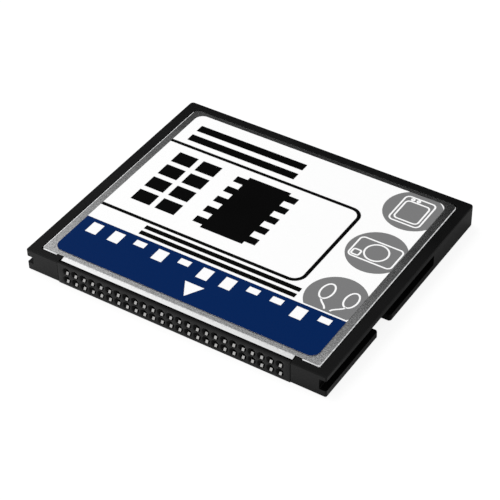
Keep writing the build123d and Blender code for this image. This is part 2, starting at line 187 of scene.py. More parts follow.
class ShaderBench(NodeBench):
    """Builds one material."""

    def __init__(self, name: str) -> None:
        """Makes an empty material.

        Args:
            name: The material's name.
        """
        self.material = bpy.data.materials.new(name)
        self.material.use_nodes = True
        super().__init__(self.material.node_tree)
        self.place = self.add("ShaderNodeTexCoord").outputs["Object"]

    def finish(self, **settings: object) -> Material:
        """Adds the shader.

        Args:
            settings: A constant or a socket for its inputs.

        Returns:
            The finished material.
        """
        surface = self.add("ShaderNodeBsdfPrincipled", **settings)
        self.add("ShaderNodeOutputMaterial", Surface=surface.outputs["BSDF"])
        return self.material

    def noise(self, size_mm: float, detail: float = 2.0) -> Socket:
        """Gives a noise whose features have a real size."""
        scale = 1.0 / (size_mm * MM)
        return self.add("ShaderNodeTexNoise", Scale=scale, Detail=detail, Vector=self.place).outputs["Fac"]

    def tint(self, factor: Socket, one: Sequence[float], two: Sequence[float]) -> Socket:
        """Mixes two colours, the first where the factor is 0 and the second where it is 1."""
        node = self.add("ShaderNodeMix", data_type="RGBA", A=(*one, 1.0), B=(*two, 1.0), Factor=factor)
        return node.outputs["Result"]

    def fade(self, share: Socket, value: Socket) -> Socket:
        """Lets a noise fade to its middle value where its share is 0."""
        return self.add("ShaderNodeMix", A=0.5, B=value, Factor=share).outputs["Result"]

    def bump(
        self, height: Socket, depth_mm: float, strength: float, under: Optional[Socket] = None
    ) -> Socket:
        """Turns a height into a normal.

        Args:
            height: The height, from 0 to 1.
            depth_mm: How deep a height of 1 is.
            strength: How much of the bump shows.
            under: Another bump that this one lies on.

        Returns:
            The normal's socket.
        """
        node = self.add("ShaderNodeBump", Distance=depth_mm * MM, Strength=strength, Height=height)
        if under is not None:
            self.feed(node.inputs["Normal"], under)
        return node.outputs["Normal"]


def shade(color: Sequence[float], factor: float) -> tuple[float, ...]:
    """Gives a colour made lighter or darker by a factor."""
    return tuple(min(1.0, part * factor) for part in color)


# Finishes


@dataclass(frozen=True)
class Finish:
    """What every finish has.

    Args:
        name: The material's name, which is also its slot's.
        color: The base colour.
        roughness: The middle roughness.
        specular: The strength of the plain reflection, unless it is a metal.
    """

    name: str
    color: Color
    roughness: float
    specular: float = 0.5


@dataclass(frozen=True)
class MouldedPlastic(Finish):
    """Injection-moulded plastic with a fine matt skin.

    Args:
        grain: How coarse the skin is.
        grain_depth_mm: How deep the skin's bumps are.
        fine_share: How much finer and shallower the bumps on those bumps are.
        drift_mm: Over what length colour and gloss drift.
        mottle: How much the colour drifts.
        dull_from_mm: How far along the card the unpolished walls of the sockets start, or None.
        dull_over_mm: Over what length they lose their gloss.
        dulling: How much rougher they are.
    """

    grain: Grain = Grain.MOULDED
    grain_depth_mm: float = 0.004
    fine_share: tuple[float, float] = (0.35, 0.4)
    drift_mm: float = 7.0
    mottle: float = 0.12
    dull_from_mm: Optional[float] = None
    dull_over_mm: float = 0.12
    dulling: float = 0.55

    def material(self) -> Material:
        """Builds the finish.

        Returns:
            The material.
        """
        bench = ShaderBench(self.name)
        drift = bench.noise(self.drift_mm, 3.0)
        finer, shallower = self.fine_share
        low, high = shade(self.color, 1.0 - self.mottle), shade(self.color, 1.0 + self.mottle)
        rough = bench.spread(drift, self.roughness - 0.05, self.roughness + 0.05)
        if self.dull_from_mm is not None:
            start = self.dull_from_mm * MM
            along = bench.part(bench.place, "Y")
            rough = bench.math(
                "ADD", rough, bench.spread(along, 0.0, self.dulling, start, start + self.dull_over_mm * MM)
            )
        coarse = bench.bump(bench.noise(self.grain.value), self.grain_depth_mm, 0.8)
        fine = bench.noise(self.grain.value * finer, 1.0)
        return bench.finish(
            Base_Color=bench.tint(bench.spread(drift, 0.0, 1.0), low, high),
            Roughness=rough,
            Specular_IOR_Level=self.specular,
            IOR=1.5,
            Normal=bench.bump(fine, self.grain_depth_mm * shallower, 0.6, coarse),
        )


@dataclass(frozen=True)
class BlastedSteel(Finish):
    """Thin stainless sheet, blasted to a satin face, but bright where the tongues slope down.

    Args:
        sparkle: How much the grains differ in brightness.
        drift_mm: Over what length the gloss drifts.
        dent_mm: How deep the grains are, and the finer dents on them.
        tongue_grain: How much of the grain is left on the tongues.
    """

    sparkle: float = 0.45
    drift_mm: float = 5.0
    dent_mm: tuple[float, float] = (0.006, 0.0015)
    tongue_grain: float = 0.15

    def material(self) -> Material:
        """Builds the finish.

        Returns:
            The material.
        """
        bench = ShaderBench(self.name)
        along = bench.part(bench.place, "Y")
        flat = bench.spread(along, self.tongue_grain, 1.0, BEND - 0.25 * MM, BEND + 0.1 * MM)
        grains = bench.fade(flat, bench.noise(Grain.BLASTED.value, 3.0))
        low, high = shade(self.color, 1.0 - self.sparkle), shade(self.color, 1.0 + self.sparkle)
        drift = bench.noise(self.drift_mm)
        dents = bench.bump(grains, self.dent_mm[0], 0.55)
        return bench.finish(
            Metallic=1.0,
            Base_Color=bench.tint(bench.spread(grains, 0.0, 1.0, 0.35, 0.65), low, high),
            Roughness=bench.spread(drift, self.roughness - 0.03, self.roughness + 0.03),
            Normal=bench.bump(bench.noise(Grain.FINE.value, 1.0), self.dent_mm[1], 0.5, dents),
        )


@dataclass(frozen=True)
class PlatedMetal(Finish):
    """Stamped strip with a bright plating.

    Args:
        drift_mm: Over what length colour and gloss drift.
    """

    drift_mm: float = 0.4

    def material(self) -> Material:
        """Builds the finish.

        Returns:
            The material.
        """
        bench = ShaderBench(self.name)
        drift = bench.noise(self.drift_mm, 3.0)
        return bench.finish(
            Metallic=1.0,
            Base_Color=bench.tint(bench.spread(drift, 0.0, 1.0), shade(self.color, 0.9), self.color),
            Roughness=bench.spread(drift, self.roughness - 0.06, self.roughness + 0.08),
            Normal=bench.bump(bench.noise(Grain.FINE.value), 0.001, 0.4),
        )


@dataclass(frozen=True)
class PrintedFilm(Finish):
    """Label film or the ink on it, under a clear laminate.

    Args:
        cut_edge: The colour of the film's thin cut edge, below its printed face.
        face_mm: How thick that face is, and the change from it to the cut edge.
        fibre_mm: The size of the faint fibres in a film that shows no cut edge.
        wave_mm: Over what length the laminate is wavy.
    """

    cut_edge: Optional[Color] = None
    face_mm: float = 0.004
    fibre_mm: float = 0.22
    wave_mm: float = 9.0

    def material(self) -> Material:
        """Builds the finish.

        Returns:
            The material.
        """
        bench = ShaderBench(self.name)
        if self.cut_edge is None:
            fibre = bench.spread(bench.noise(self.fibre_mm, 3.0), 0.0, 1.0)
            color = bench.tint(fibre, shade(self.color, 0.97), self.color)
        else:
            top = FILM_TOP - self.face_mm * MM
            face = bench.spread(bench.part(bench.place, "Z"), 0.0, 1.0, top - self.face_mm * MM, top)
            color = bench.tint(face, self.cut_edge, self.color)
        drift = bench.noise(self.wave_mm)
        return bench.finish(
            Base_Color=color,
            Roughness=bench.spread(drift, self.roughness - 0.04, self.roughness + 0.04),
            Specular_IOR_Level=self.specular,
            IOR=1.47,
            Normal=bench.bump(drift, 0.02, 0.25),
        )


@dataclass(frozen=True)
class SolderMask(Finish):
    """Green board with copper runs that show as faint ridges under the mask.

    Args:
        run_pitch_mm: The pitch of the copper runs.
    """

    run_pitch_mm: float = 0.5

    def material(self) -> Material:
        """Builds the finish.

        Returns:
            The material.
        """
        bench = ShaderBench(self.name)
        # At a scale of 1, bands along an axis are tau / 20 m apart, and diagonal ones somewhat more.
        scale = 1.0 / (self.run_pitch_mm * MM * 20.0 / math.tau)
        wave = bench.add(
            "ShaderNodeTexWave", bands_direction="DIAGONAL", Scale=scale, Distortion=1.5, Vector=bench.place
        )
        runs = bench.spread(wave.outputs["Fac"], 0.0, 1.0, 0.55, 0.65)
        return bench.finish(
            Base_Color=bench.tint(runs, self.color, shade(self.color, 1.5)),
            Roughness=self.roughness,
            Specular_IOR_Level=self.specular,
            IOR=1.5,
            Normal=bench.bump(runs, 0.02, 0.5),
        )


FINISHES = {
    finish.name: finish
    for finish in (
        MouldedPlastic("frame_plastic", (0.002, 0.002, 0.0021), 0.3, 0.14),
        MouldedPlastic(
            "connector_plastic", (0.006, 0.006, 0.0061), 0.34, 0.14, grain_depth_mm=0.003, dull_from_mm=-18.18
        ),
        BlastedSteel("cover_steel", (0.6, 0.603, 0.606), 0.12),
        PlatedMetal("contact_plating", (0.47, 0.466, 0.457), 0.36),
        SolderMask("board_green", (0.02, 0.13, 0.05), 0.35, 0.5),
        MouldedPlastic("chip_black", (0.02, 0.02, 0.021), 0.55, 0.35, Grain.FINE, 0.003),
        PlatedMetal("solder_tin", (0.66, 0.66, 0.65), 0.42),
        PlatedMetal("crystal_lid", (0.74, 0.71, 0.64), 0.25),
        MouldedPlastic("tantalum_yellow", (0.7, 0.45, 0.08), 0.45, 0.4, Grain.FINE, 0.002),
        MouldedPlastic("ceramic_tan", (0.42, 0.29, 0.17), 0.6, 0.3, Grain.FINE, 0.003),
        MouldedPlastic("resistor_black", (0.018, 0.018, 0.02), 0.3, 0.5, Grain.POLISHED, 0.002),
        PrintedFilm("amber_film", (0.55, 0.27, 0.04), 0.2, 0.5),
        PrintedFilm("label_white", (0.99, 0.99, 0.99), 0.3, 0.1, (0.12, 0.12, 0.12)),
        PrintedFilm("navy_ink", (0.0004, 0.0168, 0.0965), 0.25, 0.04),
        PrintedFilm("black_ink", (0.0015, 0.0015, 0.0015), 0.25, 0.04),
        PrintedFilm("grey_ink", (0.203, 0.203, 0.205), 0.25, 0.04),
    )
}


@cache
def finished(slot: str) -> Material:
    """Makes the finish that one of the record's slots names, once."""
    return FINISHES[slot].material()


def dress(piece: Piece, slot: str) -> None:
    """Puts a slot's finish on a piece, over whatever it had."""
    piece.data.materials.clear()
    piece.data.materials.append(finished(slot))


class Assembly:
    """One part of the card."""

    def seat(self, piece: Piece, slot: str, node: Optional[str] = None) -> None:
        """Dresses a piece and lets it ride on the card.

        Args:
            piece: The piece.
            slot: The record's slot that names its finish.
            node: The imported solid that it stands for, if there is one.
        """
        dress(piece, slot)
        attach(piece, BODY)
        if node is not None:
            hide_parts(node)
        LOG.info("%s: %s, %d faces", piece.name, slot, len(piece.data.polygons))

    def keep(self, node: str, slot: str) -> None:
        """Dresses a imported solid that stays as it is."""
        dress(frame["nodes"][node], slot)
        LOG.info("%s: %s, as packed", node, slot)


# Mesh building


def linked(name: str, bm: Mesh) -> Piece:
    """Puts a built mesh in the scene as an object at the origin.

    Args:
        name: The object's name.
        bm: The mesh, which is freed.

    Returns:
        The object.
    """
    mesh = bpy.data.meshes.new(name)
    bm.to_mesh(mesh)
    bm.free()
    piece = bpy.data.objects.new(name, mesh)
    bpy.context.scene.collection.objects.link(piece)
    return piece


def baked(piece: Piece) -> None:
    """Turns a piece's live modifiers into plain mesh.

    Args:
        piece: The piece, with its modifiers set.
    """
    graph = bpy.context.evaluated_depsgraph_get()
    mesh = bpy.data.meshes.new_from_object(piece.evaluated_get(graph))
    piece.modifiers.clear()
    piece.data = mesh


def smoothed(piece: Piece, angle: float = 32.0) -> None:
    """Shades a piece smooth, apart from its sharp edges.

    Args:
        piece: The piece.
        angle: From how many degrees on an edge is sharp.
    """
    bm = bmesh.new()
    bm.from_mesh(piece.data)
    limit = math.radians(angle)
    for edge in bm.edges:
        edge.smooth = len(edge.link_faces) == 2 and edge.calc_face_angle(0.0) < limit
    for face in bm.faces:
        face.smooth = True
    bm.to_mesh(piece.data)
    bm.free()


def bridge(bm: Mesh, one: Ring, two: Ring) -> None:
    """Joins two rings of vertices with a band of faces.

    Args:
        bm: The mesh.
        one: The first ring.
        two: The second ring, of as many vertices.
    """
    for index in range(len(one)):
        after = (index + 1) % len(one)
        bm.faces.new((one[index], one[after], two[after], two[index]))


def merged(bm: Mesh) -> None:
    """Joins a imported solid's loose triangles into whole flat faces."""
    bmesh.ops.remove_doubles(bm, verts=bm.verts, dist=0.0005 * MM)
    bmesh.ops.dissolve_limit(bm, angle_limit=math.radians(0.5), verts=bm.verts, edges=bm.edges)


@dataclass(frozen=True)
class Rounding:
    """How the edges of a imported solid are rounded.

    Args:
        chamfer_mm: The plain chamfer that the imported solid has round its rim.
        rim_mm: The rounding that takes the chamfer's place.
        edge_mm: The rounding of every other edge.
        facet_mm: How wide the shallow facet is that is pressed round the rim, or 0 for none.
        facet_deg: How steep that facet is, in degrees.
        rim_deg: From how many degrees on an edge along the rim is rounded.
        edge_deg: From how many degrees on any other edge is rounded.
        segments: How many faces make up a rounding.
    """

    chamfer_mm: float
    rim_mm: float
    edge_mm: float
    facet_mm: float = 0.0
    facet_deg: float = 25.0
    rim_deg: float = 20.0
    edge_deg: float = 28.0
    segments: int = 4


def squared(bm: Mesh, rounding: Rounding) -> bmesh.types.BMLayerItem:
    """Draws a rim's plain chamfer together into one sharp edge, or lays it down into a shallow facet.

    Args:
        bm: The mesh.
        rounding: How wide the chamfer is, and the facet that takes its place.

    Returns:
        A layer that holds 1 on the rim's vertices.
    """
    rim = bm.verts.layers.int.new("rim")
    chamfer = rounding.chamfer_mm * MM
    facet = rounding.facet_mm * MM
    facet_drop = facet * math.tan(math.radians(rounding.facet_deg))
    slack = 0.004 * MM
    heights = [vertex.co.z for vertex in bm.verts]
    pairs = []
    for level in (min(heights), max(heights)):
        for edge in bm.edges:
            near, far = sorted(edge.verts, key=lambda vertex: abs(vertex.co.z - level))
            drop = abs(far.co.z - near.co.z)
            reach = (far.co.xy - near.co.xy).length
            on_level = abs(near.co.z - level) < slack and abs(drop - chamfer) < slack
            if on_level and 0.5 * chamfer < reach < 1.6 * chamfer:
                pairs.append((near, far, level))
    for near, far, level in pairs:
        if near[rim] or far[rim]:
            continue
        inward = (near.co.xy - far.co.xy) * (facet / chamfer)
        side = -1 if level > MIDDLE else 1
        near.co = Vector((far.co.x + inward.x, far.co.y + inward.y, level))
        far.co = Vector((far.co.x, far.co.y, level + side * facet_drop))
        near[rim] = far[rim] = 1
    merged(bm)
    return rim


def reached(bm: Mesh, tip_mm: float) -> None:
    """Lets a cover's front tongue reach further down its slope.

    Args:
        bm: The cover's mesh.
        tip_mm: How much further.
    """
    tip = min(vertex.co.y for vertex in bm.verts)
    inward = -1 if sum(vertex.co.z for vertex in bm.verts) / len(bm.verts) > MIDDLE else 1
    for vertex in bm.verts:
        if vertex.co.y < tip + 0.1 * MM:
            vertex.co += Vector((0, -math.cos(SLOPE), inward * math.sin(SLOPE))) * tip_mm * MM


def softened(node: str, name: str, rounding: Rounding, tip_mm: float = 0.0) -> Piece:
    """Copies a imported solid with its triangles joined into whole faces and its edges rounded.

    Args:
        node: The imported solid's node.
        name: The new piece's name.
        rounding: How its edges are rounded.
        tip_mm: How much further the front tongue reaches down its slope.

    Returns:
        The new piece, as plain mesh.
    """
    bm = bmesh.new()
    bm.from_mesh(frame["nodes"][node].data)
    merged(bm)
    rim = squared(bm, rounding)
    if tip_mm:
        reached(bm, tip_mm)
    weight = bm.edges.layers.float.new("bevel_weight_edge")
    for edge in bm.edges:
        one, two = edge.verts
        along_rim = one[rim] and two[rim] and abs(one.co.z - two.co.z) < 0.01 * MM
        if edge.calc_face_angle(0.0) >= math.radians(rounding.rim_deg if along_rim else rounding.edge_deg):
            width = rounding.rim_mm if along_rim and not rounding.facet_mm else rounding.edge_mm
            edge[weight] = width / rounding.rim_mm
    for face in bm.faces:
        face.smooth = True
    piece = linked(name, bm)
    bevel = piece.modifiers.new("rounding", "BEVEL")
    bevel.width = rounding.rim_mm * MM
    bevel.segments = rounding.segments
    bevel.limit_method = "WEIGHT"
    bevel.use_clamp_overlap = False
    bevel.miter_outer = "MITER_ARC"
    piece.modifiers.new("even_shading", "WEIGHTED_NORMAL").keep_sharp = True
    baked(piece)
    return piece


# Geometry nodes


class RowTree(NodeBench):
    """A node tree that repeats a mesh across the card in a row of columns."""

    def __init__(self) -> None:
        """Makes the tree with its inputs and its nodes."""
        super().__init__(bpy.data.node_groups.new("repeat_across", "GeometryNodeTree"))
        face = self.tree.interface
        face.new_socket(name="Geometry", in_out="OUTPUT", socket_type="NodeSocketGeometry")
        face.new_socket(name="Geometry", in_out="INPUT", socket_type="NodeSocketGeometry")
        self.columns = face.new_socket(name="Columns", in_out="INPUT", socket_type="NodeSocketInt")
        self.pitch = face.new_socket(name="Pitch", in_out="INPUT", socket_type="NodeSocketFloat")
        self.finish = face.new_socket(name="Finish", in_out="INPUT", socket_type="NodeSocketMaterial")
        self._wire()

    def _wire(self) -> None:
        """Adds the tree's nodes: a line of points, and the mesh on each, made real and given its finish."""
        given = self.add("NodeGroupInput").outputs
        span = self.math("MULTIPLY", self.math("SUBTRACT", given["Columns"], 1.0), given["Pitch"])
        start = self.add("ShaderNodeCombineXYZ", X=self.math("MULTIPLY", span, -0.5)).outputs[0]
        step = self.add("ShaderNodeCombineXYZ", X=given["Pitch"]).outputs[0]
        line = self.add(
            "GeometryNodeMeshLine", mode="OFFSET", Count=given["Columns"], Start_Location=start, Offset=step
        )
        place = self.add(
            "GeometryNodeInstanceOnPoints", Points=line.outputs["Mesh"], Instance=given["Geometry"]
        )
        real = self.add("GeometryNodeRealizeInstances", Geometry=place.outputs["Instances"]).outputs[0]
        dressed = self.add("GeometryNodeSetMaterial", Geometry=real, Material=given["Finish"])
        self.add("NodeGroupOutput", Geometry=dressed.outputs["Geometry"])

    def repeat(self, piece: Piece, slot: str, columns: int, pitch_mm: float) -> None:
        """Repeats a piece's own mesh across the card.

        Args:
            piece: The piece, which holds one column's mesh.
            slot: The record's slot that names its finish.
            columns: How many columns there are.
            pitch_mm: The pitch of the columns.
        """
        modifier = piece.modifiers.new("columns", "NODES")
        modifier.node_group = self.tree
        modifier[self.columns.identifier] = columns
        modifier[self.pitch.identifier] = pitch_mm * MM
        modifier[self.finish.identifier] = finished(slot)
        baked(piece)


# The card's moulded frame and sheet covers


@dataclass
class Casing(Assembly):
    """The frame and the two covers, with their moulded and pressed edges rounded.

    Args:
        moulded: The rounding of the frame.
        pressed: The rounding of the covers.
        tip_mm: How much further each cover's tongue reaches.
    """

    moulded: Rounding = Rounding(chamfer_mm=0.06, rim_mm=0.12, edge_mm=0.035)
    pressed: Rounding = Rounding(chamfer_mm=0.17, rim_mm=0.12, edge_mm=0.04, facet_mm=0.11)
    tip_mm: float = 0.1

    def build(self) -> None:
        """Makes and dresses the three pieces."""
        self.seat(softened("frame", "moulded_frame", self.moulded), "frame_plastic", "frame")
        for node in ("top_cover", "bottom_cover"):
            self.seat(softened(node, "pressed_" + node, self.pressed, self.tip_mm), "cover_steel", node)


# The connector


@dataclass
class Connector(Assembly):
    """The socket block and its forked contacts.

    A contact's shape is given as points of depth behind the front face and height above the middle
    of its own socket.

    Args:
        columns: How many columns of sockets there are.
        pitch_mm: The pitch of the sockets both ways.
        radius_mm: The radius of a socket's wall.
        mouth_mm: How wide the rounding of a socket's mouth is.
        sides: How many faces make a socket's wall.
        cavity_mm: Half the width and half the height of the cavity behind a socket.
        cavity_depths_mm: How deep the cavity starts and ends.
        half_width_mm: Half the block's width.
        body_half_mm: Half the block's height behind its front lip.
        lip_depth_mm: How deep the straight part of that lip is.
        step_mm: How much deeper the lip's rear chamfer ends, and the step down to the body.
        ease_mm: The rounding of the lip's front edges.
        key_mm: The keys at the block's ends: reach outwards, reach into it, length and height.
        key_depth_mm: How deep the keys start.
        blade_mm: How thick a contact is.
        upper_arm_mm: The inner side of a fork's upper arm, from the tip on.
        lower_arm_mm: The same for the lower arm, with its heights taken downwards.
        fork_mm: How both arms go on to the fork's root.
        root_mm: The root, as its depth and half its height.
        board_mm: The height of the upper tail's underside above the middle of the block, and its thickness.
        tail_mm: How deep the tail starts and ends.
        back_mm: The height of the fork's back over the tail.
    """

    columns: int = 25
    pitch_mm: float = 1.27
    radius_mm: float = 0.55
    mouth_mm: float = 0.05
    sides: int = 32
    cavity_mm: Point = (0.26, 0.48)
    cavity_depths_mm: Point = (0.38, 4.2)
    half_width_mm: float = 16.6
    body_half_mm: float = 1.25
    lip_depth_mm: float = 0.3
    step_mm: Point = (0.04, 0.14)
    ease_mm: float = 0.06
    key_mm: tuple[float, float, float, float] = (0.6, 0.1, 1.2, 1.5)
    key_depth_mm: float = 1.8
    blade_mm: float = 0.33
    upper_arm_mm: tuple[Point, ...] = ((0.05, 0.47), (0.2, 0.42), (0.52, 0.24), (0.8, 0.18))
    lower_arm_mm: tuple[Point, ...] = (
        (0.05, 0.47), (0.11, 0.39), (0.24, 0.15), (0.29, 0.14), (0.42, 0.3), (0.9, 0.3)
    )
    fork_mm: tuple[Point, ...] = ((1.8, 0.15), (2.6, 0.17), (3.4, 0.2))
    root_mm: Point = (3.5, 0.12)
    board_mm: Point = (0.225, 0.15)
    tail_mm: Point = (4.3, 6.3)
    back_mm: float = 0.48

    def __post_init__(self) -> None:
        """Reads the block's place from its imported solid, and makes the tree that repeats a column."""
        self.rows = RowTree()
        low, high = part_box("connector_housing")
        self.front = low.y / MM
        self.rear = high.y / MM
        self.top = high.z / MM
        self.middle = (low.z + high.z) / 2 / MM

    def build(self) -> None:
        """Makes and dresses the block and both rows of contacts."""
        self._housing()
        self._contacts("upper_contacts", "upper_socket_contacts", 1)
        self._contacts("lower_contacts", "lower_socket_contacts", -1)

    def _ring(
        self, bm: Mesh, half_x: float, half_z: float, depth: float, z: float, square: bool = False
    ) -> Ring:
        """Adds one ring of vertices round the middle of a socket.

        Args:
            bm: The mesh.
            half_x: Half the ring's width.
            half_z: Half its height.
            depth: Its depth behind the front face.
            z: The height of the socket's middle.
            square: Whether it is a rectangle instead of a circle, with as many vertices.

        Returns:
            The ring's vertices, in order.
        """
        ring = []
        for side in range(self.sides):
            turn = math.tau * side / self.sides
            across, up = math.cos(turn), math.sin(turn)
            reach = max(abs(across), abs(up)) if square else 1.0
            place = Vector((half_x * across / reach, self.front + depth, z + half_z * up / reach))
            ring.append(bm.verts.new(place * MM))
        return ring

    def _tile(self, bm: Mesh, z: float) -> None:
        """Adds one socket and its cavity, with the square of front face around it.

        Args:
            bm: The mesh.
            z: The height of the socket's middle.
        """
        half = self.pitch_mm / 2
        rings = [self._ring(bm, half, half, 0.0, z, True)]
        for wider, deeper in ((1.0, 0.0), (0.4, 0.3), (0.0, 1.0)):
            radius = self.radius_mm + wider * self.mouth_mm
            rings.append(self._ring(bm, radius, radius, deeper * self.mouth_mm, z))
        for depth in self.cavity_depths_mm:
            rings.append(self._ring(bm, *self.cavity_mm, depth, z, True))
        for one, two in zip(rings, rings[1:]):
            bridge(bm, one, two)
        bm.faces.new(rings[-1])

    def _housing(self) -> None:
        """Makes the block: its sockets in columns, then the shell around them."""
        bm = bmesh.new()
        for side in (-0.5, 0.5):
            self._tile(bm, self.middle + side * self.pitch_mm)
        piece = linked("socket_block", bm)
        self.rows.repeat(piece, "connector_plastic", self.columns, self.pitch_mm)
        self._shell(piece)
        smoothed(piece)
        self.seat(piece, "connector_plastic", "connector_housing")

    def _shell(self, piece: Piece) -> None:
        """Closes the block around its columns of sockets.

        Args:
            piece: The piece that holds the sockets.
        """
        side, lip, ease, deep = self.half_width_mm, self.top - self.middle, self.ease_mm, self.lip_depth_mm
        chamfer, step = self.step_mm
        loops = [
            (side - ease, lip - ease, 0.0),
            (side - 0.3 * ease, lip - 0.3 * ease, 0.3 * ease),
            (side, lip, ease),
            (side, lip, deep),
            (side, lip - chamfer, deep + chamfer),
            (side, self.body_half_mm, deep + step),
            (side, self.body_half_mm, self.rear - self.front),
        ]
        bm = bmesh.new()
        bm.from_mesh(piece.data)
        bmesh.ops.remove_doubles(bm, verts=bm.verts, dist=0.001 * MM)
        field = [edge for edge in bm.edges if edge.is_boundary]
        rings = []
        for half_x, half_z, depth in loops:
            corners = [(-half_x, -half_z), (half_x, -half_z), (half_x, half_z), (-half_x, half_z)]
            places = [Vector((x, self.front + depth, self.middle + z)) * MM for x, z in corners]
            rings.append([bm.verts.new(place) for place in places])
        for one, two in zip(rings, rings[1:]):
            bridge(bm, two, one)
        bm.faces.new(rings[-1])
        field += [edge for edge in bm.edges if edge.is_boundary and edge.verts[0] in rings[0]]
        bmesh.ops.triangle_fill(bm, edges=field, use_beauty=True, normal=(0, -1, 0))
        for end in (-1, 1):
            self._key(bm, end)
        bmesh.ops.recalc_face_normals(bm, faces=bm.faces)
        bm.to_mesh(piece.data)
        bm.free()

    def _key(self, bm: Mesh, end: int) -> None:
        """Adds the key that locks one end of the block in the frame.

        Args:
            bm: The mesh.
            end: 1 for the right end, -1 for the left.
        """
        outwards, into, length, height = self.key_mm
        start = self.front + self.key_depth_mm
        for vertex in bmesh.ops.create_cube(bm, size=1.0)["verts"]:
            place = vertex.co
            reach = outwards if place.x * end > 0 else -into
            x = end * (self.half_width_mm + reach)
            vertex.co = Vector((x, start + (place.y + 0.5) * length, self.middle + place.z * height)) * MM

    def _contact_outline(self, side: int) -> list[Point]:
        """Gives the outline of one contact.

        Args:
            side: 1 for the upper row, -1 for the lower.

        Returns:
            Its points, in order round it.
        """
        lower = [(depth, -rise) for depth, rise in reversed(self.lower_arm_mm + self.fork_mm)]
        root, half = self.root_mm
        fork = [*self.upper_arm_mm, *self.fork_mm, (root, half), (root, -half), *lower]
        low = self.board_mm[0] - self.pitch_mm / 2
        high = low + self.board_mm[1]
        start, end = self.tail_mm
        tail = [(start, low), (end, low), (end, high), (start, high), (start, self.back_mm)]
        if side > 0:
            return fork + tail
        return fork + [(depth, -rise) for depth, rise in reversed(tail)]

    def _contacts(self, node: str, name: str, side: int) -> None:
        """Makes one row of forked contacts.

        Args:
            node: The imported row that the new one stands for.
            name: The new piece's name.
            side: 1 for the upper row, -1 for the lower.
        """
        outline = self._contact_outline(side)
        z = self.middle + side * self.pitch_mm / 2
        bm = bmesh.new()
        rings = []
        for x in (-self.blade_mm / 2, self.blade_mm / 2):
            places = [Vector((x, self.front + depth, z + rise)) * MM for depth, rise in outline]
            rings.append([bm.verts.new(place) for place in places])
            bm.faces.new(rings[-1])
        bridge(bm, *rings)
        bmesh.ops.recalc_face_normals(bm, faces=bm.faces)
        piece = linked(name, bm)
        self.rows.repeat(piece, "contact_plating", self.columns, self.pitch_mm)
        smoothed(piece, 20.0)
        self.seat(piece, "contact_plating", node)


# The label

PRINTS = {"label_film": "label_white", "band_print": "navy_ink", "outline_print": "black_ink"}


def clipped(outline: list[Point], window: list[Point]) -> list[Point]:
    """Gives the part of one convex outline that lies in another.

    Args:
        outline: The outline to cut.
        window: The outline that keeps, in anticlockwise order.

    Returns:
        The cut outline.
    """
    kept = outline
    for index, start in enumerate(window):
        end = window[(index + 1) % len(window)]
        across = (end[0] - start[0], end[1] - start[1])
        depths = [across[0] * (y - start[1]) - across[1] * (x - start[0]) for x, y in kept]
        result = []
        for place, point in enumerate(kept):
            before, here, last = kept[place - 1], depths[place], depths[place - 1]
            if here * last < 0:
                share = last / (last - here)
                x = before[0] + share * (point[0] - before[0])
                result.append((x, before[1] + share * (point[1] - before[1])))
            if here >= 0:
                result.append(point)
        kept = result
    return kept


def circle(
    x: float, y: float, radius_x: float, radius_y: Optional[float] = None, steps: int = 64
) -> list[Point]:
    """Gives a circle or an upright ellipse.

    Args:
        x: Where its middle is across the card.
        y: Where its middle is along the card.
        radius_x: Its radius across the card.
        radius_y: Its radius along the card, if that differs.
        steps: How many points it has.

    Returns:
        Its points, anticlockwise.
    """
    tall = radius_x if radius_y is None else radius_y
    turns = [math.tau * step / steps for step in range(steps)]
    return [(x + radius_x * math.cos(turn), y + tall * math.sin(turn)) for turn in turns]


def rounded(x: float, y: float, width: float, length: float, radius: float, steps: int = 8) -> list[Point]:
    """Gives a rectangle with rounded corners.

    Args:
        x: Where its middle is across the card.
        y: Where its middle is along the card.
        width: Its size across the card.
        length: Its size along the card.
        radius: The radius of its corners.
        steps: In how many straight parts a corner turns.

    Returns:
        Its points, anticlockwise.
    """
    points = []
    for corner, (side_x, side_y) in enumerate(((1, 1), (-1, 1), (-1, -1), (1, -1))):
        centre_x = x + side_x * (width / 2 - radius)
        centre_y = y + side_y * (length / 2 - radius)
        for step in range(steps + 1):
            turn = math.pi / 2 * (corner + step / steps)
            points.append((centre_x + radius * math.cos(turn), centre_y + radius * math.sin(turn)))
    return points


def cord(start: Point, end_x: float, drop: float, steps: int = 12) -> list[Point]:
    """Gives the points of a cord that hangs from a place and swings sideways as it goes down.

    Args:
        start: Where it starts.
        end_x: How far across the card it ends.
        drop: How far down it reaches.
        steps: In how many straight parts.

    Returns:
        Its points.
    """
    points = []
    for step in range(steps + 1):
        share = step / steps
        ease = share * share * (3 - 2 * share)
        points.append((start[0] + (end_x - start[0]) * ease, start[1] - drop * share))
    return points


